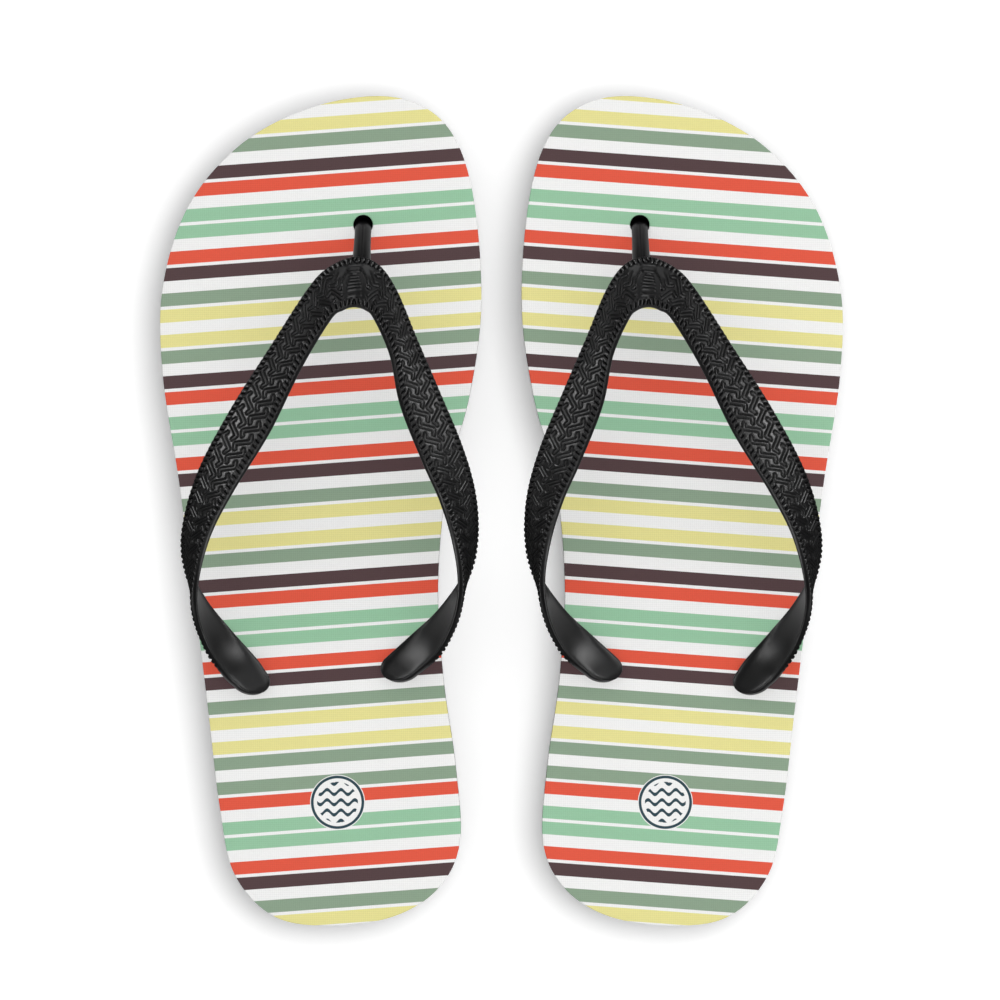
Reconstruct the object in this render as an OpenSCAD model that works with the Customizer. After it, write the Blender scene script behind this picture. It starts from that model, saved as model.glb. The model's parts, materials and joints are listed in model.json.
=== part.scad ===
// Pair of flip-flops: printed fabric footbed, foam midsole and rubber outsole on each foot,
// and a one-piece moulded strap held by three plugs.
// Frame: +X to the wearer's right, +Y towards the toes, +Z up. The origin is on the ground,
// midway between the two soles. Everything is drawn as the left foot and mirrored for the right.

/* [Sole] */
// Length of the sole
sole_l = 260; // [240:1:290]
// Width of the sole across the ball of the foot
sole_w = 100.6; // [92:0.2:112]
// Distance between the long centre lines of the two soles
pair_pitch = 113.7; // [108:0.1:200]
// Thickness of the rubber outsole
outsole_t = 3; // [2.5:0.1:5]
// Thickness of the foam midsole
midsole_t = 11.2; // [8:0.1:16]
// Thickness of the printed fabric footbed
fabric_t = 0.8; // [0.6:0.1:1.2]
// Distance of the bending line in front of the middle of the sole
flex_y = 42; // [34:1:50]

/* [Strap] */
// Thickness of the strap band
band_t = 2.6; // [2:0.1:3.2]
// Radius of the post between the toes
toe_post_r = 2.45; // [2:0.05:2.7]
// Radius of the stems under the two side arms
side_stem_r = 3.2; // [2.8:0.05:3.4]
// Radius of the three plug discs under the sole
plug_r = 8; // [6:0.1:8.8]
// Thickness of the three plug discs
plug_t = 2.4; // [1.8:0.1:2.4]

/* [Holes] */
// Radius of the hole for the toe post
toe_hole_r = 3.05; // [3:0.05:3.4]
// Radius of the holes for the side stems
side_hole_r = 3.6; // [3.6:0.05:4]
// Radius of the recesses for the plug discs
recess_r = 9; // [9:0.1:10]

/* [Tread] */
// Distance between the tread grooves
tread_pitch = 9; // [7:0.5:14]
// Width of a tread groove
tread_w = 1.8; // [1:0.1:3]
// Depth of a tread groove
tread_d = 1; // [0.5:0.1:1.4]
// Width of the plain rim round the tread
tread_rim = 6; // [4:0.5:10]

/* [Hidden] */

midsole_z = outsole_t;
fabric_z = midsole_z + midsole_t;
top_z = fabric_z + fabric_t;
big = 400;
cut = 0.5;
outline_steps = 5;
band_steps = 3;

// The sole's outline is drawn for a sole of this size and scaled to the one asked for.
drawn_l = 260.4;
drawn_w = 100.6;
scale_x = sole_w / drawn_w;
scale_y = sole_l / drawn_l;

// Points round the left sole: heel, inner side, toe, outer side.
outline_points = [
    [3, -130.2], [23, -127.3], [37, -118.5], [43.8, -104], [42.5, -80], [38.6, -52], [37, -22], [40, 10],
    [46.8, 36], [50.5, 64], [48.6, 95], [43, 115.5], [33, 126.5], [17.5, 130.2], [-4.5, 126],
    [-25.3, 114.6], [-41.3, 95.5], [-49.3, 70], [-49.3, 43], [-44.3, 10], [-39.4, -27], [-35.1, -62],
    [-31.4, -93], [-26.8, -114], [-14.5, -127.2]];

// Where the strap passes through the sole.
toe_hole = [13.5 * scale_x, 89.8 * scale_y];
outer_hole = [-24.6 * scale_x, -49.6 * scale_y];
inner_hole = [26.8 * scale_x, -47.6 * scale_y];

// Stations of the strap's mid surface, as two edge points each, with z above the footbed.
// The first edge is the front one at the toes and the lower one at the side, the second the other.
apex = [[11, 79.4, 16.5], [10.9, 63.9, 23.2]];
outer_arm = [
    [[2.5, 75.8, 17.2], [7.5, 63, 24.6]], [[-3.7, 69, 18.7], [3.4, 60, 26.3]],
    [[-15.4, 50.7, 21.5], [-5.7, 45, 30]],
    [[-27.6, 31.5, 23.5], [-15.4, 25, 32.5]], [[-37.7, 12, 21.5], [-26.9, 6.5, 31.5]],
    [[-42.4, -5.5, 16.5], [-34.2, -7, 29]], [[-41.6, -18, 11], [-38.3, -20.5, 25.5]],
    [[-36.1, -28.5, 6.2], [-39.1, -31.5, 20]], [[-27.8, -38.2, 3.2], [-36.1, -42, 13.3]],
    [[-20.1, -46.5, 1.9], [-30.2, -51.4, 8]], [[-17.2, -50.6, 1.7], [-26.6, -55, 6.6]]];
inner_arm = [
    [[18.3, 77, 17.2], [14.6, 62.9, 24.6]], [[24, 68.9, 18.7], [17.4, 60.1, 26.2]],
    [[30.3, 53.5, 21.5], [22.5, 48.8, 30]],
    [[37.1, 37.9, 23.5], [25.7, 33, 32.5]], [[44.5, 20, 22], [32.8, 15, 32]],
    [[48.4, 5.5, 17.5], [38.3, 2.8, 29]], [[49, -8, 13], [42.3, -9.6, 27]],
    [[46.3, -19.5, 8.5], [44.3, -22.5, 22.8]], [[38.1, -31, 4.4], [42.8, -34.4, 17]],
    [[29.1, -39.1, 2.4], [37.5, -44.8, 11]], [[21.1, -46.1, 1.8], [29.7, -51.9, 7]]];
// Where the toe post meets the underside of the band.
post_top = [13, 75.5, 16.9];

// ---- curves ----

// A point at share t of the span from b to c, on a smooth curve through a, b, c and d.
function span(a, b, c, d, t) =
    0.5 * (2 * b + (c - a) * t + (2 * a - 5 * b + 4 * c - d) * t ^ 2 + (3 * b - a - 3 * c + d) * t ^ 3);

function closed_curve(p, steps) = [
    for (i = [0 : len(p) - 1], k = [0 : steps - 1])
        span(p[(i + len(p) - 1) % len(p)], p[i], p[(i + 1) % len(p)], p[(i + 2) % len(p)], k / steps)];

function open_curve(p, steps) = [
    for (i = [0 : len(p) - 2], k = [0 : steps - 1])
        span(p[max(i - 1, 0)], p[i], p[i + 1], p[min(i + 2, len(p) - 1)], k / steps),
    p[len(p) - 1]];

function unit(v) = v / norm(v);
function reversed(p) = [for (i = [len(p) - 1 : -1 : 0]) p[i]];
function to_size(p) = [p[0] * scale_x, p[1] * scale_y, p[2] + top_z];
function middle(s) = (s[0] + s[1]) / 2;

// ---- sole ----

module outline() {
    polygon([for (p = closed_curve(outline_points, outline_steps)) [p[0] * scale_x, p[1] * scale_y]]);
}

module slab(z, t) {
    translate([0, 0, z])
        linear_extrude(height = t)
            outline();
}

// Keeps the part of a layer in front of the bending line, or behind it.
module front_half() {
    intersection() {
        children();
        translate([-big / 2, flex_y, -big / 2])
            cube(big);
    }
}

module rear_half() {
    intersection() {
        children();
        translate([-big / 2, flex_y - big, -big / 2])
            cube(big);
    }
}

module hole(at, r) {
    translate([at[0], at[1], -big / 2])
        cylinder(r = r, h = big, $fn = 64);
}

module strap_holes() {
    hole(toe_hole, toe_hole_r);
    hole(outer_hole, side_hole_r);
    hole(inner_hole, side_hole_r);
}

module plug_recesses() {
    for (at = [toe_hole, outer_hole, inner_hole])
        hole(at, recess_r);
}

module footbed_fabric() {
    color([0.93, 0.93, 0.92])
        difference() {
            slab(fabric_z, fabric_t);
            strap_holes();
        }
}

module midsole() {
    color([0.08, 0.08, 0.08])
        difference() {
            slab(midsole_z, midsole_t);
            strap_holes();
        }
}

// A groove across the sole at y, stopping short of both sides by the width of the rim.
module tread_groove(y) {
    rows = [for (p = closed_curve(outline_points, outline_steps))
        if (abs(p[1] * scale_y - y) < tread_pitch) p[0] * scale_x];
    left_x = max([for (x = rows) if (x < 0) x]) + tread_rim;
    right_x = min([for (x = rows) if (x > 0) x]) - tread_rim;
    translate([left_x, y - tread_w / 2, -cut])
        cube([right_x - left_x, tread_w, tread_d + cut]);
}

// The grooves' places along the sole, counted both ways from half a pitch off the bending line.
function groove_rows() =
    let (first = flex_y + tread_pitch / 2, reach = sole_l / 2 - 2 * tread_pitch)
    [for (k = [ceil((-reach - first) / tread_pitch) : floor((reach - first) / tread_pitch)])
        first + k * tread_pitch];

function clear_of_plugs(y) =
    min([for (at = [toe_hole, outer_hole, inner_hole]) abs(at[1] - y)]) > recess_r + tread_w;

module outsole() {
    color([0.05, 0.05, 0.05])
        difference() {
            slab(0, outsole_t);
            plug_recesses();
            for (y = groove_rows())
                if (clear_of_plugs(y))
                    tread_groove(y);
        }
}

// ---- strap ----

// The rounded end of an arm: the last station carried on along the band while it narrows to nothing.
function round_end(s, before) =
    let (along = unit(middle(s) - middle(before)), half = (s[1] - s[0]) / 2, r = norm(half))
    [for (a = [30 : 25 : 80])
        [middle(s) + along * r * sin(a) - half * cos(a), middle(s) + along * r * sin(a) + half * cos(a)]];

function with_end(arm) = concat(arm, round_end(arm[len(arm) - 1], arm[len(arm) - 3]));

function band_stations() =
    let (
        outer = with_end(open_curve([for (s = concat([apex], outer_arm)) [to_size(s[0]), to_size(s[1])]],
            band_steps)),
        inner = with_end(open_curve([for (s = concat([apex], inner_arm)) [to_size(s[0]), to_size(s[1])]],
            band_steps)))
    concat(reversed(outer), [for (i = [1 : len(inner) - 1]) inner[i]]);

// Eight points round the band at a station, in the plane across the band.
function band_section(s, forward) =
    let (
        w = s[1] - s[0],
        across = unit(w),
        out = unit(cross(forward, across)),
        edge = min(band_t * 0.35, norm(w) * 0.2),
        half = band_t / 2)
    [for (q = [[0, 0, -0.4], [0, edge, -1], [1, -edge, -1], [1, 0, -0.4],
               [1, 0, 0.4], [1, -edge, 1], [0, edge, 1], [0, 0, 0.4]])
        s[0] + w * q[0] + across * q[1] + out * half * q[2]];

module band() {
    s = band_stations();
    n = len(s);
    rings = [for (i = [0 : n - 1])
        band_section(s[i], unit(middle(s[min(i + 1, n - 1)]) - middle(s[max(i - 1, 0)])))];
    k = len(rings[0]);
    walls = [for (i = [0 : n - 2], j = [0 : k - 1], h = [0, 1])
        let (a = i * k + j, b = i * k + (j + 1) % k)
        h == 0 ? [a, b + k, b] : [a, a + k, b + k]];
    start = [for (j = [1 : k - 2]) [0, j, j + 1]];
    finish = [for (j = [1 : k - 2]) [(n - 1) * k, (n - 1) * k + j + 1, (n - 1) * k + j]];
    polyhedron(points = [for (ring = rings, p = ring) p], faces = concat(walls, start, finish));
}

// A round bar from one point to another.
module bar(from, to, r) {
    v = to - from;
    translate(from)
        rotate([0, acos(v[2] / norm(v)), atan2(v[1], v[0])])
            cylinder(r = r, h = norm(v), $fn = 48);
}

module plug(at, stem_r, stem_top) {
    translate([at[0], at[1], midsole_z - plug_t])
        cylinder(r = plug_r, h = plug_t, $fn = 64);
    translate([at[0], at[1], midsole_z - cut])
        cylinder(r = stem_r, h = stem_top - midsole_z + cut, $fn = 48);
}

module toe_post() {
    bend = [toe_hole[0], toe_hole[1], top_z + 1.6];
    plug(toe_hole, toe_post_r, bend[2]);
    translate(bend)
        sphere(r = toe_post_r, $fn = 48);
    bar(bend, to_size(post_top), toe_post_r);
}

module strap() {
    color([0.09, 0.09, 0.09])
        union() {
            band();
            toe_post();
            plug(outer_hole, side_stem_r, top_z + 3.2);
            plug(inner_hole, side_stem_r, top_z + 3);
        }
}

// ---- placing ----

module left() {
    translate([-pair_pitch / 2, 0, 0])
        children();
}

module right() {
    mirror([1, 0, 0])
        left()
            children();
}

left() front_half() footbed_fabric();  // left_footbed_fabric_front
left() rear_half() footbed_fabric();  // left_footbed_fabric_rear
left() front_half() midsole();  // left_midsole_front
left() rear_half() midsole();  // left_midsole_rear
left() front_half() outsole();  // left_outsole_front
left() rear_half() outsole();  // left_outsole_rear
left() strap();  // left_strap
right() front_half() footbed_fabric();  // right_footbed_fabric_front
right() rear_half() footbed_fabric();  // right_footbed_fabric_rear
right() front_half() midsole();  // right_midsole_front
right() rear_half() midsole();  // right_midsole_rear
right() front_half() outsole();  // right_outsole_front
right() rear_half() outsole();  // right_outsole_rear
right() strap();  // right_strap
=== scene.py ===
"""A pair of striped flip-flops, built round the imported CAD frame.

Each shoe is drawn as the left one, in millimetres, with its own long axis at x = 0 and the ground
at z = 0. put() carries it to its place in metres, and mirrors it for the right shoe.
"""

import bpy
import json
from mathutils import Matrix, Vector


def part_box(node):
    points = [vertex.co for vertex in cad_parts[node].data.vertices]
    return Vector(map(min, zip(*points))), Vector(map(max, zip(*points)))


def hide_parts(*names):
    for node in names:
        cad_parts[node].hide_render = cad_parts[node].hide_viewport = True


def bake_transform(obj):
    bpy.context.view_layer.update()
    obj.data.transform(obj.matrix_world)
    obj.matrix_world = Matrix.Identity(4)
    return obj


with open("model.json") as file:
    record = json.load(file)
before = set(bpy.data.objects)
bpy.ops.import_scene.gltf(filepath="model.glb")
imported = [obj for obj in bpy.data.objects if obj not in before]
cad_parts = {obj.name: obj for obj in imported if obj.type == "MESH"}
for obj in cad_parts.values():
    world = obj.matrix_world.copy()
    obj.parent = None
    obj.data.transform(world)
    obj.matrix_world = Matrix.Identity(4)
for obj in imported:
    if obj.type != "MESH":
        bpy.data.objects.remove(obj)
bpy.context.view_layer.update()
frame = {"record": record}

import json
import math

import bmesh
import bpy
import numpy as np
from mathutils import Vector
from mathutils.geometry import delaunay_2d_cdt

MM = 0.001

# ---- sizes, in millimetres ----

JOINTS = {joint["name"]: joint for joint in frame["record"]["behaviour"]["joints"]}
HINGE = [value / MM for value in JOINTS["left_sole_flex"]["pos_m"]]
SHOE_X = -HINGE[0]
FLEX_Y = HINGE[1]
TOP = HINGE[2]


def height(node):
    """The lowest and highest z of a CAD node."""
    low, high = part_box(node)
    return low[2] / MM, high[2] / MM


FABRIC_Z = height("left_footbed_fabric_front")
MIDSOLE_Z = height("left_midsole_front")
OUTSOLE_Z = height("left_outsole_front")

# The sole's outline and the strap are drawn at these sizes and scaled to the frame's.
DRAWN_W, DRAWN_L = 100.6, 260.4
SOLE_W = (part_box("left_outsole_front")[1][0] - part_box("left_outsole_front")[0][0]) / MM
SOLE_L = (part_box("left_outsole_front")[1][1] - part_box("left_outsole_rear")[0][1]) / MM
SCALE = np.array([SOLE_W / DRAWN_W, SOLE_L / DRAWN_L])

OUTLINE_POINTS = [
    [3, -130.2], [23, -127.3], [37, -118.5], [43.8, -104], [42.5, -80], [38.6, -52], [37, -22], [40, 10],
    [46.8, 36], [50.5, 64], [48.6, 95], [43, 115.5], [33, 126.5], [17.5, 130.2], [-4.5, 126],
    [-25.3, 114.6], [-41.3, 95.5], [-49.3, 70], [-49.3, 43], [-44.3, 10], [-39.4, -27], [-35.1, -62],
    [-31.4, -93], [-26.8, -114], [-14.5, -127.2]]

TOE_HOLE, OUTER_HOLE, INNER_HOLE = [13.5, 89.8], [-24.6, -49.6], [26.8, -47.6]
TOE_HOLE_R, SIDE_HOLE_R, RECESS_R = 3.05, 3.6, 9.0

BAND_T = 2.6
TOE_POST_R, SIDE_STEM_R, PLUG_R, PLUG_T = 2.45, 3.2, 8.0, 2.4

# Stations of the strap's mid surface, from the outer tongue over the toes to the inner tongue.
# Each has two edge points, with z above the footbed: the front or lower edge, then the other one.
STRAP_STATIONS = [
    [[-17.2, -50.6, 1.7], [-26.6, -55, 6.6]], [[-20.1, -46.5, 1.9], [-30.2, -51.4, 8]],
    [[-27.8, -38.2, 3.2], [-36.1, -42, 13.3]], [[-36.1, -28.5, 6.2], [-39.1, -31.5, 20]],
    [[-41.6, -18, 11], [-38.3, -20.5, 25.5]], [[-42.4, -5.5, 16.5], [-34.2, -7, 29]],
    [[-37.7, 12, 21.5], [-26.9, 6.5, 31.5]], [[-27.6, 31.5, 23.5], [-15.4, 25, 32.5]],
    [[-15.4, 50.7, 21.5], [-5.7, 45, 30]], [[-3.7, 69, 18.7], [3.4, 60, 26.3]],
    [[2.5, 75.8, 17.2], [7.5, 63, 24.6]], [[11, 79.4, 16.5], [10.9, 63.9, 23.2]],
    [[18.3, 77, 17.2], [14.6, 62.9, 24.6]], [[24, 68.9, 18.7], [17.4, 60.1, 26.2]],
    [[30.3, 53.5, 21.5], [22.5, 48.8, 30]], [[37.1, 37.9, 23.5], [25.7, 33, 32.5]],
    [[44.5, 20, 22], [32.8, 15, 32]], [[48.4, 5.5, 17.5], [38.3, 2.8, 29]],
    [[49, -8, 13], [42.3, -9.6, 27]], [[46.3, -19.5, 8.5], [44.3, -22.5, 22.8]],
    [[38.1, -31, 4.4], [42.8, -34.4, 17]], [[29.1, -39.1, 2.4], [37.5, -44.8, 11]],
    [[21.1, -46.1, 1.8], [29.7, -51.9, 7]]]
APEX_STATION = 11


# ---- curves and meshes ----

def smooth_curve(points, steps, closed=False):
    """A smooth curve through the points, with steps pieces between each two."""
    p = np.array(points, float)
    n = len(p)
    spans = range(n) if closed else range(n - 1)
    t = (np.arange(steps) / steps)[:, None]
    pieces = []
    for i in spans:
        if closed:
            a, b, c, d = p[i - 1], p[i], p[(i + 1) % n], p[(i + 2) % n]
        else:
            a, b, c, d = p[max(i - 1, 0)], p[i], p[i + 1], p[min(i + 2, n - 1)]
        pieces.append(0.5 * (2 * b + (c - a) * t + (2 * a - 5 * b + 4 * c - d) * t ** 2
                             + (3 * b - a - 3 * c + d) * t ** 3))
    if not closed:
        pieces.append(p[-1:])
    return np.concatenate(pieces)


def smoothstep(low, high, value):
    """0 up to low and 1 from high on, with a soft turn between. low may be the larger one."""
    t = np.clip((value - low) / (high - low), 0, 1)
    return t * t * (3 - 2 * t)


def bump(value, low, high, soft):
    """1 between low and high and 0 outside, turning over a width of soft."""
    rise = smoothstep(low - soft / 2, low + soft / 2, value)
    fall = smoothstep(high + soft / 2, high - soft / 2, value)
    return rise * fall


def unit(v):
    return v / np.linalg.norm(v, axis=-1, keepdims=True)


def put(name, points, faces, side, slot, material):
    """Makes a piece from its points in millimetres, in the left or the right shoe's place."""
    place = np.array(points, float)
    place[:, 0] -= SHOE_X
    if side == "right":
        place[:, 0] *= -1
        faces = [face[::-1] for face in faces]
    mesh = bpy.data.meshes.new(name)
    mesh.from_pydata((place * MM).tolist(), [], faces)
    mesh.validate()
    mesh.update()
    print_map = mesh.attributes.new("print_map", "FLOAT_VECTOR", "POINT")
    print_map.data.foreach_set("vector", np.array(points, np.float32).ravel())
    piece = bpy.data.objects.new(name, mesh)
    bpy.context.scene.collection.objects.link(piece)
    mesh.materials.append(material)
    return piece


def shade(piece, sharp_deg):
    """Smooth shading, with the edges over an angle kept sharp."""
    mesh = piece.data
    work = bmesh.new()
    work.from_mesh(mesh)
    limit = math.radians(sharp_deg)
    for edge in work.edges:
        edge.smooth = len(edge.link_faces) != 2 or edge.calc_face_angle(0) < limit
    for face in work.faces:
        face.smooth = True
    work.to_mesh(mesh)
    work.free()


# ---- sole layers ----

def inset(loop, distance):
    """A closed loop moved inwards, or a clockwise one outwards, along its own normals."""
    along = np.roll(loop, -1, axis=0) - np.roll(loop, 1, axis=0)
    along = unit(along)
    return loop + distance * np.stack([-along[:, 1], along[:, 0]], axis=1)


def circle(centre, radius, count=48):
    """A clockwise circle, so that inset() widens it."""
    a = -np.arange(count) * 2 * math.pi / count
    return np.array(centre) + radius * np.stack([np.cos(a), np.sin(a)], axis=1)


def inside(points, loop):
    """Which points lie inside a closed loop."""
    x, y = points[:, 0][:, None], points[:, 1][:, None]
    ax, ay = loop[:, 0][None], loop[:, 1][None]
    bx, by = np.roll(loop, -1, axis=0).T[:, None]
    crosses = (ay > y) != (by > y)
    at = (bx - ax) * (y - ay) / np.where(by == ay, 1, by - ay) + ax
    return (crosses & (x < at)).sum(axis=1) % 2 == 1


def filling(spacing, loops):
    """Points in rows of even triangles over the sole, clear of its loops."""
    half_w, half_l = SOLE_W / 2 + 2, SOLE_L / 2 + 2
    row_gap = spacing * 0.87
    rows = []
    for i, y in enumerate(np.arange(-half_l, half_l, row_gap)):
        x = np.arange(-half_w + spacing * (i % 2) / 2, half_w, spacing)
        rows.append(np.stack([x, np.full(len(x), y)], axis=1))
    points = np.concatenate(rows)
    margin = spacing * 0.45
    keep = inside(points, inset(loops[0], margin))
    for loop in loops[1:]:
        keep &= ~inside(points, inset(loop, margin))
    return points[keep]


def sheet(loops, extra):
    """Triangles that fill the first loop, less the others, through the extra points."""
    corners, edges = [], []
    for loop in loops:
        first = len(corners)
        corners += [tuple(p) for p in loop]
        edges += [(first + i, first + (i + 1) % len(loop)) for i in range(len(loop))]
    corners += [tuple(p) for p in extra]
    verts, _, faces, origins, _, _ = delaunay_2d_cdt([Vector(c) for c in corners], edges, [], 2, 1e-6)
    spots = np.array([list(v) for v in verts])
    centres = np.array([spots[list(face)].mean(axis=0) for face in faces])
    keep = inside(centres, loops[0])
    for loop in loops[1:]:
        keep &= ~inside(centres, loop)
    kept = [list(face) for face, ok in zip(faces, keep) if ok]
    source = [old[0] for old in origins]
    return spots, kept, source


def slab(loops, rims, spacing, bottom_points=None, relief=None):
    """A closed plate. rims lists (inset, z) from the top face's edge down to the bottom face's.

    bottom_points takes the place of the even filling of the bottom face, and relief lifts them.
    """
    outline_sizes = [len(loop) for loop in loops]
    total = sum(outline_sizes)
    points, faces = [], []
    for distance, z in rims:
        ring = np.concatenate([inset(loop, distance) for loop in loops])
        points.append(np.column_stack([ring, np.full(total, z)]))
    for level in range(len(rims) - 1):
        first = 0
        for size in outline_sizes:
            for i in range(size):
                a, b = level * total + first + i, level * total + first + (i + 1) % size
                faces.append([a, a + total, b + total, b])
            first += size
    count = total * len(rims)
    for level, extra, up in ((0, None, True), (len(rims) - 1, bottom_points, False)):
        distance, z = rims[level]
        edge_loops = [inset(loop, distance) for loop in loops]
        if extra is None:
            extra = filling(spacing, edge_loops)
        spots, triangles, source = sheet(edge_loops, extra)
        number = np.empty(len(spots), int)
        fresh = [i for i in range(len(spots)) if source[i] >= total]
        for i in range(len(spots)):
            number[i] = level * total + source[i]
        for k, i in enumerate(fresh):
            number[i] = count + k
        heights = np.full(len(fresh), z)
        if relief is not None and not up:
            heights = z + relief(spots[fresh])
        points.append(np.column_stack([spots[fresh], heights]))
        count += len(fresh)
        for triangle in triangles:
            ids = [int(number[i]) for i in triangle]
            faces.append(ids if up else ids[::-1])
    return np.concatenate(points), faces


OUTLINE = smooth_curve(OUTLINE_POINTS, 14, closed=True) * SCALE


def strap_loops(toe_r, side_r):
    return [circle(TOE_HOLE * SCALE, toe_r), circle(OUTER_HOLE * SCALE, side_r),
            circle(INNER_HOLE * SCALE, side_r)]


def footbed_fabric(side):
    low, high = FABRIC_Z
    loops = [OUTLINE] + strap_loops(TOE_HOLE_R, SIDE_HOLE_R)
    rims = [(0.34, high), (0.12, high - 0.05), (0.02, high - 0.2), (0, low + 0.1), (0, low)]
    points, faces = slab(loops, rims, 2.5)
    return put(side + "_footbed_fabric", points, faces, side, "footbed_fabric", FABRIC)


# The foam's side wall is drawn in by this much at half its height.
WALL_WAIST = 0.12


def midsole(side):
    low, high = MIDSOLE_Z
    loops = [OUTLINE] + strap_loops(TOE_HOLE_R, SIDE_HOLE_R)
    rims = [(0.1, high), (0, high - 0.1)]
    for k in range(1, 8):
        drawn_in = WALL_WAIST * math.sin(math.pi * k / 8)
        rims.append((drawn_in, high - 0.1 - (high - low - 0.3) * k / 8))
    rims += [(0, low + 0.2), (0.2, low)]
    points, faces = slab(loops, rims, 4)
    return put(side + "_midsole", points, faces, side, "midsole_foam", FOAM)


TREAD_PITCH, TREAD_W, TREAD_D, TREAD_RIM = 9.0, 1.8, 1.0, 6.0
# A groove's wall runs from this far outside its edge to this far inside it.
WALL_OUT, WALL_IN = 0.1, 0.15


def groove_rows():
    """The tread grooves as (y, left end, right end)."""
    first = FLEX_Y + TREAD_PITCH / 2
    reach = SOLE_L / 2 - 2 * TREAD_PITCH
    low = math.ceil((-reach - first) / TREAD_PITCH)
    high = math.floor((reach - first) / TREAD_PITCH)
    holes = np.array([TOE_HOLE, OUTER_HOLE, INNER_HOLE]) * SCALE
    rows = []
    for k in range(low, high + 1):
        y = first + k * TREAD_PITCH
        if np.abs(holes[:, 1] - y).min() < RECESS_R + TREAD_W:
            continue
        near = OUTLINE[np.abs(OUTLINE[:, 1] - y) < TREAD_PITCH]
        left = near[near[:, 0] < 0, 0].max() + TREAD_RIM
        right = near[near[:, 0] > 0, 0].min() - TREAD_RIM
        rows.append((y, left, right))
    return rows


def tread_relief(points):
    """How far each point of the underside is cut in."""
    depth = np.zeros(len(points))
    x = points[:, 0]
    for y, left, right in groove_rows():
        off = np.abs(points[:, 1] - y)
        across = smoothstep(TREAD_W / 2 + WALL_OUT, TREAD_W / 2 - WALL_IN, off)
        left_end = smoothstep(left - WALL_OUT, left + WALL_IN, x)
        right_end = smoothstep(right + WALL_OUT, right - WALL_IN, x)
        depth = np.maximum(depth, TREAD_D * across * left_end * right_end)
    return depth


def tread_points(loops):
    """Points over the underside, close together along the walls of the grooves."""
    points = filling(3, loops)
    rows = groove_rows()
    for y, _, _ in rows:
        points = points[np.abs(points[:, 1] - y) > TREAD_W]
    extra = []
    for y, left, right in rows:
        x = np.concatenate([[left - WALL_OUT, left + WALL_IN], np.linspace(left + 1, right - 1, 60),
                            [right - WALL_IN, right + WALL_OUT]])
        for wall in (TREAD_W / 2 + WALL_OUT, TREAD_W / 2 - WALL_IN):
            for sign in (-1, 1):
                extra.append(np.column_stack([x, np.full(len(x), y + sign * wall)]))
    return np.concatenate([points] + extra)


def outsole(side):
    low, high = OUTSOLE_Z
    loops = [OUTLINE] + strap_loops(RECESS_R, RECESS_R)
    rims = [(0.2, high), (0, high - 0.2), (0, low + 0.9),
            (0.15, low + 0.4), (0.5, low + 0.1), (0.9, low)]
    edge_loops = [inset(loop, rims[-1][0]) for loop in loops]
    points, faces = slab(loops, rims, 4, bottom_points=tread_points(edge_loops), relief=tread_relief)
    return put(side + "_outsole", points, faces, side, "outsole_rubber", TREAD_RUBBER)


# ---- strap ----

# The moulded pattern: beads along both edges, hooked bars between them and a ladder over the toes.
BEAD_PITCH, BEAD_L, BEAD_RIM, BEAD_H, BEAD_GAP_D = 1.85, 1.9, 0.35, 0.32, 0.32
# Over the toes the beads are closer together, more so on the inner bend. Each pair is the pitch
# there and how far it reaches.
FRONT_BEADS, INNER_BEADS = (1.4, 8.0), (1.1, 5.0)
# A bead's slant, and where its pit begins and is deepest, in shares of the pitch.
BEAD_SLANT, PIT_START, PIT_FULL = 0.15, 0.24, 0.38
BAR_PITCH, BAR_W, BAR_L, BAR_FOOT, BAR_H = 4.7, 0.8, 5.5, 1.75, 0.06
BAR_LEAN, BAR_MIDDLE = 58, 2.75
GROOVE_W, GROOVE_D = 0.36, 0.3
# The bars keep their share of a band that is FULL_W wide. They end where the ladder's place begins.
FULL_W, PANEL_W = 16.0, 10.8
LADDER_REACH = 4.3
# The ladder's ribs: how far each is from the front edge, half its length and half its width.
LADDER = [(3.2, 2.5, 0.22), (5.5, 1.7, 0.27), (6.3, 0.9, 0.22), (7.3, 1.6, 0.27), (8.3, 1.8, 0.27),
          (9.4, 2.2, 0.3), (10.5, 2.4, 0.3), (11.6, 2.3, 0.32), (13.5, 2.4, 0.45)]
LADDER_BOW, LADDER_H = 0.08, 0.3
RIB_WALL_OUT, RIB_WALL_IN = 0.15, 0.12
# The grooves beside the ladder: where they start and end behind the front edge, how far they are
# from the middle there, and how much farther at the back.
SIDE_GROOVE, SIDE_GROOVE_X, SIDE_GROOVE_SPREAD = (4.2, 10.5), 2.1, 2.2


def distance_to_segment(x, y, a, b):
    d = b - a
    t = np.clip(((x - a[0]) * d[0] + (y - a[1]) * d[1]) / (d @ d), 0, 1)
    return np.hypot(x - a[0] - t * d[0], y - a[1] - t * d[1])


def hooked_bars(along, across):
    """Two columns of raised Z-shaped bars, each in a fine groove. along counts from over the toes."""
    lean = math.radians(BAR_LEAN)
    stroke = np.array([math.cos(lean), math.sin(lean)])
    hook = np.array([-stroke[1], stroke[0]])
    start, end = -BAR_L / 2 * stroke, BAR_L / 2 * stroke
    lines = [(start, end), (start, start + BAR_FOOT * hook), (end, end - BAR_FOOT * hook)]
    nearest = np.full(along.shape, 99.0)
    for sign, shift in ((1, 0), (-1, BAR_PITCH / 2)):
        y = across * sign - BAR_MIDDLE
        cell = np.round((along - shift) / BAR_PITCH)
        for step in (-1, 0, 1):
            x = (cell + step) * BAR_PITCH + shift - along
            for a, b in lines:
                near = distance_to_segment(x, y, a, b)
                nearest = np.minimum(nearest, np.where(across * sign > -0.3, near, 99.0))
    wall = BAR_W / 2
    bar = smoothstep(wall + 0.1, wall - 0.15, nearest)
    groove = bump(nearest, wall, wall + GROOVE_W, 0.14)
    return BAR_H * bar - GROOVE_D * groove


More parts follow.
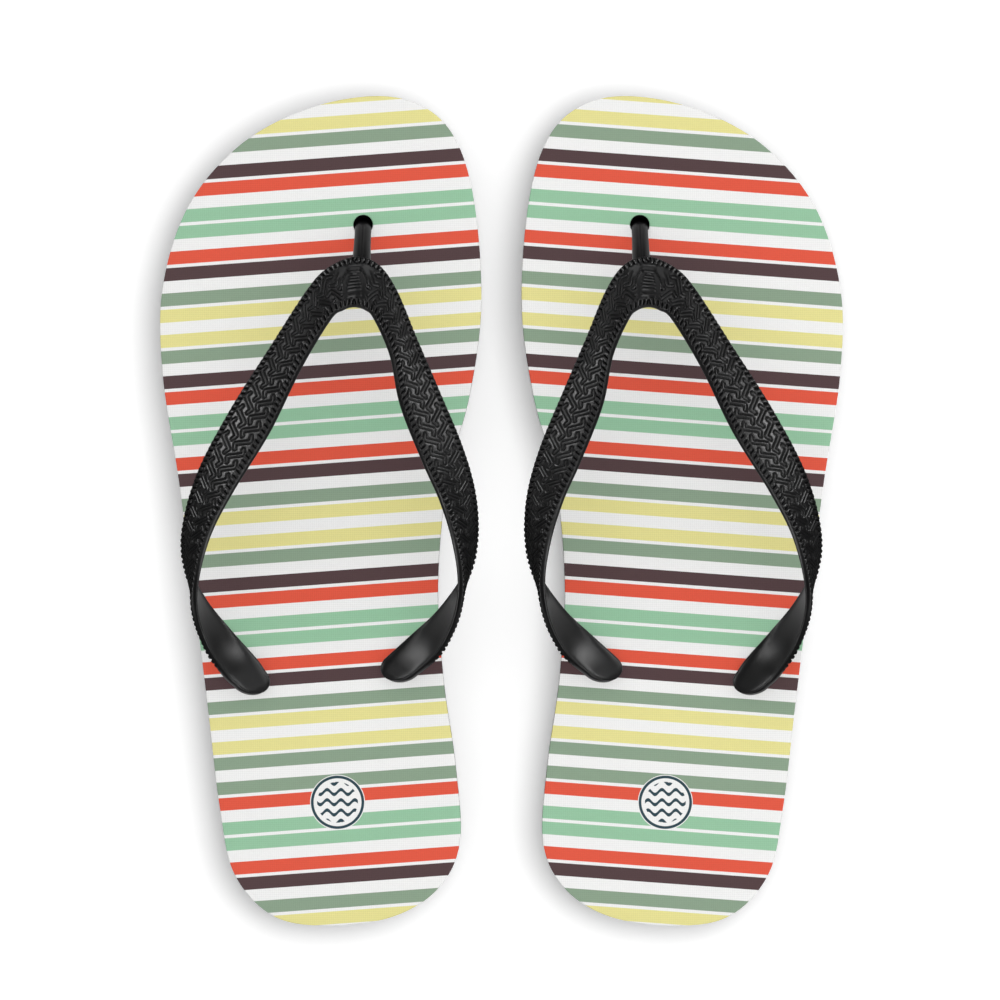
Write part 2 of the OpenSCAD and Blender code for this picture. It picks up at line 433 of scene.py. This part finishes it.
def bead_count(edge_length, over_toes):
    """How many beads lie between a place on an edge and the middle of the toes."""
    pitch, reach = over_toes
    extra = (1 / pitch - 1 / BEAD_PITCH) * reach
    return edge_length / BEAD_PITCH + extra * (1 - np.exp(-edge_length / reach))


def beads(edge_length, from_edge, over_toes, rim):
    """A row of short ridges along one edge, with pits between them, inside a plain rim."""
    phase = bead_count(edge_length, over_toes) + BEAD_SLANT * from_edge
    f = np.abs(phase - np.round(phase))
    pit = smoothstep(PIT_START, PIT_FULL, f)
    window = bump(from_edge, rim, rim + BEAD_L, 0.35)
    return window * (BEAD_H * (1 - pit) - BEAD_GAP_D * pit)


def ladder(along, from_front):
    """Bowed cross ribs over the toes, with a groove down each side."""
    side = np.abs(along)
    groove_at = SIDE_GROOVE_X + SIDE_GROOVE_SPREAD * smoothstep(4, 8, from_front)
    groove = bump(side, groove_at - 0.2, groove_at + 0.2, 0.2) * bump(from_front, *SIDE_GROOVE, 0.8)
    lift = -GROOVE_D * groove
    for place, half_l, half_w in LADDER:
        off = np.abs(from_front - place + LADDER_BOW * along ** 2)
        across = smoothstep(half_w + RIB_WALL_OUT, half_w - RIB_WALL_IN, off)
        ends = smoothstep(half_l + RIB_WALL_OUT, half_l - RIB_WALL_OUT, side)
        lift = lift + LADDER_H * across * ends
    return lift


def arc_length(curve):
    steps = np.linalg.norm(np.diff(curve, axis=0), axis=1)
    return np.concatenate([[0], np.cumsum(steps)])


# The band's section: how far its outer face is crowned, and what share of that is left at its ends,
# how far its inner face is dished, and the round of its four corners.
CROWN, END_CROWN, DISH, CORNER_R = 0.6, 0.15, 0.4, 0.6
# How long each plain end is before the bars and the beads begin, and over what length they rise.
BARS_START, BEADS_START = (13, 12), (10, 10)
# The rows of the skin are ROW_STEP apart, with END_ROWS of them in the last END_L at each end.
ROW_STEP, END_ROWS, END_L = 0.3, 10, 6.0
OUTER_COLUMNS, INNER_COLUMNS, CORNER_STEPS = 62, 15, 4


def strap_rows():
    """Rows of the band, close together under the pattern: both edge points, and the place along."""
    drawn = np.array(STRAP_STATIONS, float)
    drawn[:, :, :2] *= SCALE
    drawn[:, :, 2] += TOP
    per_span = 60
    a = smooth_curve(drawn[:, 0], per_span)
    b = smooth_curve(drawn[:, 1], per_span)
    length = arc_length((a + b) / 2)
    end = length[-1]
    row_count = int((end - 2 * END_L) / ROW_STEP)
    at = np.concatenate([np.linspace(0, END_L, END_ROWS)[:-1],
                         np.linspace(END_L, end - END_L, row_count)[:-1],
                         np.linspace(end - END_L, end, END_ROWS)])
    rows_a = np.column_stack([np.interp(at, length, a[:, i]) for i in range(3)])
    rows_b = np.column_stack([np.interp(at, length, b[:, i]) for i in range(3)])
    return rows_a, rows_b, at - length[APEX_STATION * per_span]


def rounded_end(edge_a, edge_b, before_a, before_b, count=16):
    """Rows that carry a band on past its last row in a half circle."""
    middle, half = (edge_a + edge_b) / 2, (edge_b - edge_a) / 2
    along = unit(middle - (before_a + before_b) / 2)
    radius = np.linalg.norm(half)
    rows = []
    for k in range(1, count + 1):
        turn = math.radians(89) * k / count
        reach = radius * math.sin(turn)
        centre = middle + along * reach
        rows.append((centre - half * math.cos(turn), centre + half * math.cos(turn), reach))
    return rows


class Band:
    """The band's rows, ends included: edges, width, and the directions across it and out of it."""

    def __init__(self):
        a, b, along = strap_rows()
        tail = rounded_end(a[-1], b[-1], a[-5], b[-5])
        head = rounded_end(a[0], b[0], a[4], b[4])[::-1]
        self.a = np.concatenate([[r[0] for r in head], a, [r[0] for r in tail]])
        self.b = np.concatenate([[r[1] for r in head], b, [r[1] for r in tail]])
        self.along = np.concatenate([[along[0] - r[2] for r in head], along,
                                     [along[-1] + r[2] for r in tail]])
        forward = unit(np.gradient((self.a + self.b) / 2, self.along, axis=0))
        for _ in range(3):
            forward[1:-1] = (forward[:-2] + forward[1:-1] + forward[2:]) / 3
        self.width = np.linalg.norm(self.b - self.a, axis=1)
        across = (self.b - self.a) / self.width[:, None]
        # The round ends keep the last full row's directions, because their width shrinks to nothing.
        n_head, n_tail = len(head), len(tail)
        for direction in (across, forward):
            direction[:n_head], direction[-n_tail:] = direction[n_head], direction[-n_tail - 1]
        self.across = across
        self.outward = unit(np.cross(across, forward))
        self.arm = self.fade(*BARS_START)
        self.beaded = self.fade(*BEADS_START)
        self.length_a = self.edge_length(self.a)
        self.length_b = self.edge_length(self.b)

    def fade(self, plain, soft):
        """0 over the plain length at each end, then rising to 1 over the soft length."""
        from_end = np.minimum(self.along - self.along[0], self.along[-1] - self.along)
        return smoothstep(plain, plain + soft, from_end)

    def edge_length(self, edge):
        length = arc_length(edge)
        return length - np.interp(0, self.along, length)

    def place(self, x, y):
        """Points x across the band from its first edge and y out of its mid surface."""
        return self.a + self.across * np.reshape(x, (-1, 1)) + self.outward * np.reshape(y, (-1, 1))

    def pattern(self, x):
        """How far the outer face is raised or cut in, x across the band."""
        c_full = (self.width / 2 - x) * FULL_W / self.width
        mixed = self.length_a * (1 - x / self.width) + self.length_b * (x / self.width)
        panel = bump(c_full, -PANEL_W / 2, PANEL_W / 2, 0.4)
        from_middle = np.abs(self.along)
        past_ladder = smoothstep(LADDER_REACH, LADDER_REACH + 0.7, from_middle)
        bars = hooked_bars(from_middle, c_full) * past_ladder * panel
        rim = BEAD_RIM * (1.7 * self.arm - 0.7)
        rows = beads(np.abs(self.length_a), x, FRONT_BEADS, rim)
        rows += beads(np.abs(self.length_b), self.width - x, INNER_BEADS, rim)
        return self.arm * (bars + ladder(mixed, x)) + self.beaded * rows


def skin(rings):
    """The points and faces of a closed skin over a stack of rings, with a flat face at each end."""
    grid = np.array(rings)
    n, m = grid.shape[:2]
    faces = []
    for i in range(n - 1):
        for j in range(m):
            near, far = i * m, (i + 1) * m
            after = (j + 1) % m
            faces.append([near + j, near + after, far + after, far + j])
    faces += [[j for j in range(m)][::-1], [(n - 1) * m + j for j in range(m)]]
    return grid.reshape(-1, 3), faces


def band_mesh(band):
    """The band's closed skin: a crowned and patterned outer face, round edges, a smooth inner face."""
    half_t = BAND_T / 2
    width = band.width
    r = np.minimum(CORNER_R, width * 0.3)
    columns = []

    def crown(x):
        share = END_CROWN + (1 - END_CROWN) * band.arm
        return half_t - CROWN * share * (2 * x / width - 1) ** 2

    def corner(start_deg, centre_x, centre_y, patterned):
        """A quarter turn round one of the band's four corners, less its last point."""
        for k in range(CORNER_STEPS):
            t = math.radians(start_deg - 90 * k / CORNER_STEPS)
            x, y = centre_x + r * math.cos(t), centre_y + r * math.sin(t)
            lift = band.pattern(x) if patterned else 0
            columns.append(band.place(x + lift * math.cos(t), y + lift * math.sin(t)))

    corner(180, r, crown(r) - r, True)
    for q in np.linspace(0, 1, OUTER_COLUMNS):
        x = r + (width - 2 * r) * q
        columns.append(band.place(x, crown(x) + band.pattern(x)))
    corner(90, width - r, crown(r) - r, True)
    corner(0, width - r, -half_t + r, False)
    wide_enough = np.minimum(1, (width / 9) ** 2)
    for k in range(INNER_COLUMNS):
        q = math.cos(math.pi * k / (INNER_COLUMNS - 1))
        x = width / 2 + (width / 2 - r) * q
        columns.append(band.place(x, -half_t + DISH * (1 - q ** 8) * wide_enough))
    corner(-90, r, -half_t + r, False)

    return skin(np.stack(columns, axis=1))


# The toe post leans back in its hole by POST_BACK. It is wider than its stem by POST_WIDER, and by
# POST_FLARE more at the band, and thinner by up to POST_FLAT where it leaves the hole. The groove
# down its front is POST_GROOVE_D deep and spreads over an angle of POST_GROOVE_TURN.
POST_BACK, POST_WIDER, POST_FLARE, POST_FLAT = 0.8, 0.12, 0.25, 0.45
POST_GROOVE_D, POST_GROOVE_TURN = 0.45, 0.25


def tube(path, half_widths, half_depths, groove_depths, count=64):
    """A closed bar of oval section along a path, grooved down its front. Its width is along x."""
    along = unit(np.gradient(path, axis=0))
    deep = unit(np.cross(along, [1.0, 0, 0]))
    wide = np.cross(along, deep)
    turn = np.linspace(-math.pi, math.pi, count, endpoint=False)
    groove = np.exp(-(turn / POST_GROOVE_TURN) ** 2)
    rings = []
    for i in range(len(path)):
        out = half_depths[i] * np.cos(turn) - groove_depths[i] * groove
        sideways = half_widths[i] * np.outer(np.sin(turn), wide[i])
        rings.append(path[i] + np.outer(out, deep[i]) + sideways)
    return skin(rings)


def turned(centre, outline, count=64):
    """A closed solid of revolution about z. outline lists (radius, z) from the bottom up."""
    turn = np.arange(count) * 2 * math.pi / count
    rings = []
    for r, z in outline:
        x, y = centre[0] + r * np.cos(turn), centre[1] + r * np.sin(turn)
        rings.append(np.column_stack([x, y, np.full(count, z)]))
    return skin(rings)


def plug_outline(stem_r, top):
    """The disc under the sole and its stem, as (radius, z)."""
    high = OUTSOLE_Z[1]
    low = high - PLUG_T
    disc = [(PLUG_R - 1.1, low), (PLUG_R - 0.4, low + 0.15), (PLUG_R - 0.05, low + 0.5),
            (PLUG_R, low + 0.9), (PLUG_R, high - 0.3), (PLUG_R - 0.2, high - 0.02)]
    return disc + [(stem_r + 0.1, high - 0.02), (stem_r, high + 0.2), (stem_r, top)]


def toe_post():
    """The post between the toes, a little flat in its hole, and wider towards the band."""
    x, y = TOE_HOLE * SCALE
    y -= POST_BACK
    # Each knot is a place on the post's axis and the share of the flattening there.
    knots = [[x, y + 0.3, 2.5, 0], [x, y, 8, 0.3], [x, y - 0.1, 13, 0.8], [x, y - 0.25, TOP, 1],
             [x - 0.02, y - 1.7, TOP + 3.2, 0.6], [x - 0.2, y - 6.3, TOP + 9, 0.2],
             [x - 0.35, y - 10.7, TOP + 14, 0], [x - 0.4, y - 13.7, TOP + 17, 0]]
    curve = smooth_curve(knots, 10)
    rise = smoothstep(TOP + 3, TOP + 15, curve[:, 2])
    half_widths = TOE_POST_R + POST_WIDER + POST_FLARE * rise
    half_depths = TOE_POST_R - POST_FLAT * curve[:, 3]
    groove_depths = POST_GROOVE_D * smoothstep(TOP - 2, TOP + 3, curve[:, 2])
    return tube(curve[:, :3], half_widths, half_depths, groove_depths)


def side_stem(band, hole):
    """A stem with its disc, cut off along the band's mid surface."""
    hole = hole * SCALE
    points, faces = turned(hole, plug_outline(SIDE_STEM_R, TOP))
    middle = (band.a + band.b) / 2
    row = np.hypot(*(middle[:, :2] - hole).T).argmin()
    normal = band.outward[row]
    top = points[:, 2] == TOP
    away = points[top, :2] - middle[row, :2]
    points[top, 2] = middle[row, 2] - away @ normal[:2] / normal[2]
    return points, faces


def strap(side):
    """The one-piece moulding, joined from its band, toe post, stems and discs."""
    band = Band()
    # The toe plug ends in a cone, which leaves the hole beside the post dark.
    high = OUTSOLE_Z[1]
    toe_plug = plug_outline(TOE_POST_R, high + 0.4) + [(0.3, high + 4.5)]
    parts = [toe_post(), turned(TOE_HOLE * SCALE, toe_plug),
             side_stem(band, OUTER_HOLE), side_stem(band, INNER_HOLE)]
    whole = put(side + "_strap_moulding", *band_mesh(band), side, "strap_rubber", STRAP_RUBBER)
    for points, faces in parts:
        tool = put("joined_part", points, faces, side, "strap_rubber", STRAP_RUBBER)
        union = whole.modifiers.new("union", "BOOLEAN")
        union.operation = "UNION"
        union.solver = "MANIFOLD"
        union.object = tool
        bpy.context.view_layer.update()
        evaluated = whole.evaluated_get(bpy.context.evaluated_depsgraph_get())
        joined = bpy.data.meshes.new_from_object(evaluated)
        whole.modifiers.clear()
        whole.data = joined
        bpy.data.objects.remove(tool)
    whole.data.name = whole.name
    return whole


# ---- materials ----

class Graph:
    """Short names for building a material's nodes."""

    def __init__(self, name):
        self.material = bpy.data.materials.new(name)
        self.material.use_nodes = True
        self.tree = self.material.node_tree
        self.tree.nodes.clear()

    def node(self, kind, **settings):
        made = self.tree.nodes.new(kind)
        for key, value in settings.items():
            setattr(made, key, value)
        return made

    def set(self, socket, value):
        if isinstance(value, bpy.types.NodeSocket):
            self.tree.links.new(value, socket)
        else:
            socket.default_value = value

    def math(self, operation, *values):
        made = self.node("ShaderNodeMath", operation=operation)
        for socket, value in zip(made.inputs, values):
            self.set(socket, value)
        return made.outputs[0]

    def mix(self, share, a, b):
        made = self.node("ShaderNodeMix", data_type="RGBA")
        self.set(made.inputs["Factor"], share)
        self.set(made.inputs["A"], a)
        self.set(made.inputs["B"], b)
        return made.outputs["Result"]

    def step(self, value, at, soft):
        """0 below at and 1 above it, turning over a width of soft."""
        made = self.node("ShaderNodeMapRange", interpolation_type="SMOOTHSTEP")
        for name, number in (("Value", value), ("From Min", at - soft / 2), ("From Max", at + soft / 2)):
            self.set(made.inputs[name], number)
        return made.outputs[0]

    def band(self, value, low, high, soft):
        return self.math("SUBTRACT", self.step(value, low, soft), self.step(value, high, soft))

    def noise(self, vector, scale, detail):
        made = self.node("ShaderNodeTexNoise")
        self.set(made.inputs["Vector"], vector)
        made.inputs["Scale"].default_value = scale
        made.inputs["Detail"].default_value = detail
        return made.outputs["Fac"]

    def print_map(self):
        """A point's place on its own unbent shoe, in millimetres."""
        return self.node("ShaderNodeAttribute", attribute_name="print_map").outputs["Vector"]

    def bump(self, height_value, strength, distance):
        made = self.node("ShaderNodeBump")
        made.inputs["Strength"].default_value = strength
        made.inputs["Distance"].default_value = distance
        self.set(made.inputs["Height"], height_value)
        return made.outputs["Normal"]

    def surface(self, **inputs):
        shader = self.node("ShaderNodeBsdfPrincipled")
        for key, value in inputs.items():
            self.set(shader.inputs[key.replace("_", " ")], value)
        out = self.node("ShaderNodeOutputMaterial")
        self.tree.links.new(shader.outputs[0], out.inputs[0])
        return self.material


def linear(red, green, blue):
    """A screen colour from 0 to 255 as the linear colour a shader takes."""
    def one(value):
        v = value / 255
        return v / 12.92 if v <= 0.04045 else ((v + 0.055) / 1.055) ** 2.4
    return (one(red), one(green), one(blue), 1)


YELLOW, SAGE, BROWN = linear(226, 219, 145), linear(136, 158, 135), linear(80, 59, 61)
RED, MINT, WHITE = linear(222, 85, 62), linear(147, 193, 159), linear(237, 237, 236)
TEAL = linear(40, 66, 76)

# The stripes come in pairs: a colour, a thin gap, a colour and a wide gap.
STRIPE_W, THIN_GAP, WIDE_GAP = 4.08, 1.01, 3.78
STRIPE_PERIOD = 2 * STRIPE_W + THIN_GAP + WIDE_GAP
FIRST_PAIR_Y = 122.96
# The stripes slope by STRIPE_RISE. Their places are given at STRIPE_X, near the middle of the shoe.
STRIPE_RISE, STRIPE_X = 0.073, -6.42
# The print's colours turn into one another over this width.
PRINT_EDGE = 0.12
# Behind this place the print is a little closer together.
CLOSER_BACK, CLOSER_BY = 163.0, 0.0225
STRIPE_PAIRS = [(YELLOW, SAGE), (BROWN, RED), (MINT, MINT), (RED, BROWN), (SAGE, YELLOW)]
ODD_PAIR = 16


def palette(g, index, colours):
    """Picks a colour by a whole number from 0."""
    ramp = g.node("ShaderNodeValToRGB")
    ramp.color_ramp.interpolation = "CONSTANT"
    stops = ramp.color_ramp.elements
    while len(stops) < len(colours):
        stops.new(0.5)
    for i, colour in enumerate(colours):
        stops[i].position = i / len(colours)
        stops[i].color = colour
    g.set(ramp.inputs[0], g.math("DIVIDE", g.math("ADD", index, 0.5), len(colours)))
    return ramp.outputs["Color"]


def striped_print(g, x, y):
    """The printed colour at a place on the footbed."""
    level = g.math("SUBTRACT", y, g.math("MULTIPLY", g.math("SUBTRACT", x, STRIPE_X), STRIPE_RISE))
    back = g.math("SUBTRACT", FIRST_PAIR_Y, level)
    closer = g.math("MULTIPLY", g.math("MAXIMUM", g.math("SUBTRACT", back, CLOSER_BACK), 0), CLOSER_BY)
    back = g.math("ADD", back, closer)
    pair = g.math("FLOOR", g.math("DIVIDE", back, STRIPE_PERIOD))
    within = g.math("SUBTRACT", back, g.math("MULTIPLY", pair, STRIPE_PERIOD))
    turn = g.math("FLOORED_MODULO", pair, 5)
    first = palette(g, turn, [pair_colours[0] for pair_colours in STRIPE_PAIRS])
    second = palette(g, turn, [pair_colours[1] for pair_colours in STRIPE_PAIRS])
    odd = g.math("COMPARE", pair, ODD_PAIR, 0.1)
    first = g.mix(odd, first, SAGE)
    colour = g.mix(g.band(within, 0, STRIPE_W, PRINT_EDGE), WHITE, first)
    low = STRIPE_W + THIN_GAP
    return g.mix(g.band(within, low, low + STRIPE_W, PRINT_EDGE), colour, second)


EMBLEM_AT, EMBLEM_R = (5.5, -91.3), 8.6
# The ring lies between two distances from the badge's edge, and the waves end at a third.
RING_OUT, RING_IN, WAVES_IN = 0.25, 1.1, 2.2
WAVE_GAP, WAVE_H, WAVE_TURNS, WAVE_W = 3.2, 0.75, 1.45, 1.1


def emblem(g, x, y, under):
    """A plain round badge with wavy lines, printed over the stripes."""
    u = g.math("SUBTRACT", x, EMBLEM_AT[0])
    v = g.math("SUBTRACT", y, EMBLEM_AT[1])
    radius = g.math("SQRT", g.math("ADD", g.math("MULTIPLY", u, u), g.math("MULTIPLY", v, v)))
    disc = g.math("SUBTRACT", 1, g.step(radius, EMBLEM_R, PRINT_EDGE))
    colour = g.mix(disc, under, WHITE)
    ring = g.band(radius, EMBLEM_R - RING_IN, EMBLEM_R - RING_OUT, PRINT_EDGE)
    wave = g.math("MULTIPLY", g.math("SINE", g.math("MULTIPLY", u, WAVE_TURNS)), WAVE_H)
    from_row = g.math("ADD", g.math("SUBTRACT", v, wave), WAVE_GAP / 2)
    row = g.math("PINGPONG", from_row, WAVE_GAP / 2)
    field = g.math("SUBTRACT", 1, g.step(radius, EMBLEM_R - WAVES_IN, PRINT_EDGE))
    waves = g.math("MULTIPLY", g.step(row, (WAVE_GAP - WAVE_W) / 2, PRINT_EDGE), field)
    return g.mix(g.math("MAXIMUM", ring, waves), colour, TEAL)


def make_fabric():
    g = Graph("printed_fabric")
    place = g.print_map()
    split = g.node("ShaderNodeSeparateXYZ")
    g.set(split.inputs[0], place)
    x, y = split.outputs[0], split.outputs[1]
    colour = emblem(g, x, y, striped_print(g, x, y))
    thread = 0.42
    turns = math.pi / thread / math.sqrt(2)
    warp = g.math("SINE", g.math("MULTIPLY", g.math("ADD", x, y), turns))
    weft = g.math("SINE", g.math("MULTIPLY", g.math("SUBTRACT", x, y), turns))
    weave = g.math("MULTIPLY", warp, weft)
    slub = g.noise(place, 1.6, 4)
    cloud = g.noise(place, 0.05, 2)
    shade_by = g.math("ADD", g.math("MULTIPLY", weave, 0.05), 0.95)
    shade_by = g.math("ADD", shade_by, g.math("MULTIPLY", g.math("SUBTRACT", slub, 0.5), 0.08))
    shade_by = g.math("ADD", shade_by, g.math("MULTIPLY", g.math("SUBTRACT", cloud, 0.5), 0.03))
    tint = g.node("ShaderNodeVectorMath", operation="SCALE")
    g.set(tint.inputs[0], colour)
    g.set(tint.inputs["Scale"], shade_by)
    # The straps mirror the footbed as an even grey.
    mirrored = g.node("ShaderNodeLightPath").outputs["Is Glossy Ray"]
    seen = g.mix(mirrored, tint.outputs[0], linear(180, 180, 180))
    relief = g.math("ADD", weave, g.math("MULTIPLY", slub, 0.8))
    return g.surface(Base_Color=seen, Roughness=0.88, Sheen_Weight=0.12, Sheen_Roughness=0.5,
                     Specular_IOR_Level=0.25, Normal=g.bump(relief, 0.35, 0.00006))


def make_foam():
    g = Graph("black_foam")
    place = g.print_map()
    cells = g.noise(place, 2.2, 3)
    large = g.noise(place, 0.12, 2)
    colour = g.mix(large, linear(30, 30, 31), linear(42, 42, 43))
    return g.surface(Base_Color=colour, Roughness=0.78, Specular_IOR_Level=0.35,
                     Normal=g.bump(cells, 0.5, 0.0002))


def make_tread_rubber():
    g = Graph("tread_rubber")
    place = g.print_map()
    grain = g.noise(place, 3.0, 3)
    large = g.noise(place, 0.1, 3)
    colour = g.mix(large, linear(26, 26, 27), linear(38, 38, 39))
    return g.surface(Base_Color=colour, Roughness=0.62, Specular_IOR_Level=0.4,
                     Normal=g.bump(grain, 0.35, 0.0001))


def make_strap_rubber():
    g = Graph("moulded_rubber")
    place = g.node("ShaderNodeTexCoord").outputs["Object"]
    grain = g.noise(place, 2500, 3)
    large = g.noise(place, 60, 3)
    colour = g.mix(large, linear(6, 6, 7), linear(11, 11, 12))
    rough = g.math("ADD", 0.29, g.math("MULTIPLY", large, 0.1))
    # The grooves of the pattern, found by their pointiness, stay dull: rougher and much less glossy,
    # which is painted shade in the hollows that keeps them dark.
    pointiness = g.node("ShaderNodeNewGeometry").outputs["Pointiness"]
    painted_groove_shade = g.math("SUBTRACT", 1, g.step(pointiness, 0.475, 0.05))
    rough = g.math("ADD", rough, g.math("MULTIPLY", painted_groove_shade, 0.4))
    gloss = g.math("SUBTRACT", 0.4, g.math("MULTIPLY", painted_groove_shade, 0.35))
    return g.surface(Base_Color=colour, Roughness=rough, Specular_IOR_Level=gloss,
                     Normal=g.bump(grain, 0.12, 0.00008))


FABRIC = make_fabric()
FOAM = make_foam()
TREAD_RUBBER = make_tread_rubber()
STRAP_RUBBER = make_strap_rubber()


# ---- building both shoes ----

# Edges that turn by more than this many degrees stay sharp.
LAYER_SHARP, STRAP_SHARP = 50, 60


def bend(piece):
    """Bakes the piece's transform into its mesh. The piece is not bent."""
    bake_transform(piece)


STRAPS = []
for side in ("left", "right"):
    for name, make in (("footbed_fabric", footbed_fabric), ("midsole", midsole), ("outsole", outsole)):
        layer = make(side)
        shade(layer, LAYER_SHARP)
        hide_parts(f"{side}_{name}_front", f"{side}_{name}_rear")
        bend(layer)
    moulding = strap(side)
    shade(moulding, STRAP_SHARP)
    STRAPS.append(moulding)
    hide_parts(side + "_strap")
    bend(moulding)


# ---- studio ----

# The floor gives a little light of its own to the camera, so that it is white where nothing shades it.
FLOOR_GLOW = 0.16
SKY_LIGHT, SKY_IN_GLOSS = 0.6, 0.05
FLOOR_HALF, FLOOR_Z = 30, -0.0002


def floor():
    mesh = bpy.data.meshes.new("studio_floor")
    signs = ((-1, -1), (1, -1), (1, 1), (-1, 1))
    corners = [(x * FLOOR_HALF, y * FLOOR_HALF, FLOOR_Z) for x, y in signs]
    mesh.from_pydata(corners, [], [(0, 1, 2, 3)])
    plane = bpy.data.objects.new("studio_floor", mesh)
    bpy.context.scene.collection.objects.link(plane)
    g = Graph("pale_floor")
    path = g.node("ShaderNodeLightPath")
    # In gloss the floor shows dark grey, a painted reflection darker than the floor itself, so the
    # straps mirror it dimly.
    colour = g.mix(path.outputs["Is Glossy Ray"], linear(250, 250, 250), linear(70, 70, 70))
    glow = g.math("MULTIPLY", path.outputs["Is Camera Ray"], FLOOR_GLOW)
    mesh.materials.append(g.surface(Base_Color=colour, Roughness=0.9, Specular_IOR_Level=0.1,
                                    Emission_Color=linear(255, 255, 255), Emission_Strength=glow))


def lamp(name, place, size, power, diffuse=True, gloss=True):
    """A soft lamp that faces the shoes. size is its width and height."""
    data = bpy.data.lights.new(name, "AREA")
    data.shape = "RECTANGLE"
    data.size, data.size_y = size
    data.energy = power
    made = bpy.data.objects.new(name, data)
    made.location = place
    made.rotation_euler = (-Vector(place)).to_track_quat("-Z", "Y").to_euler()
    made.visible_diffuse = diffuse
    made.visible_glossy = gloss
    bpy.context.scene.collection.objects.link(made)
    return made


def leave_out_shadows(light, pieces):
    """The pieces cast no shadow from the light."""
    left_out = bpy.data.collections.new("no_shadow")
    for piece in pieces:
        left_out.objects.link(piece)
    for entry in left_out.collection_objects:
        entry.light_linking.link_state = "EXCLUDE"
    light.light_linking.blocker_collection = left_out


def sky():
    """Even light from all round, dim in the gloss of the straps."""
    world = bpy.data.worlds.new("studio")
    bpy.context.scene.world = world
    world.use_nodes = True
    tree = world.node_tree
    path = tree.nodes.new("ShaderNodeLightPath")
    strength = tree.nodes.new("ShaderNodeMapRange")
    strength.inputs["To Min"].default_value = SKY_LIGHT
    strength.inputs["To Max"].default_value = SKY_IN_GLOSS
    tree.links.new(path.outputs["Is Glossy Ray"], strength.inputs["Value"])
    tree.links.new(strength.outputs[0], tree.nodes["Background"].inputs["Strength"])
    tree.nodes["Background"].inputs["Color"].default_value = (1, 1, 1, 1)


# The camera looks straight down. The picture is VIEW_W wide at the footbed and centred on VIEW_AT.
VIEW_W, VIEW_AT = 0.3133, (-0.00045, 0.0034)


def camera():
    data = bpy.data.cameras.new("camera")
    data.lens = 600
    data.sensor_width = 36
    made = bpy.data.objects.new("camera", data)
    made.location = (*VIEW_AT, TOP * MM + VIEW_W * data.lens / data.sensor_width)
    data.clip_end = 100
    bpy.context.scene.collection.objects.link(made)
    bpy.context.scene.camera = made


floor()
# The key is two lamps in one place, so that the straps' shadows can be left out of the one that
# lights the print. The lamps with diffuse=False only shine in the gloss of the straps.
KEY_PLACE, KEY_SIZE = (0.42, 0.1, 1.55), (1.2, 1.2)
key = lamp("key", KEY_PLACE, KEY_SIZE, 15.5, gloss=False)
leave_out_shadows(key, STRAPS)
lamp("key_gloss", KEY_PLACE, KEY_SIZE, 14.2, diffuse=False)
for side in (-1, 1):
    lamp("side", (0.98 * side, 0.52, 0.37), (0.38, 0.25), 5.2, diffuse=False)
    lamp("back", (0.8 * side, -0.75, 0.6), (0.3, 0.2), 3, diffuse=False)
lamp("front", (0, 1.3, 0.6), (0.6, 0.25), 2.5, diffuse=False)
sky()
camera()
bpy.context.scene.view_settings.view_transform = "Standard"
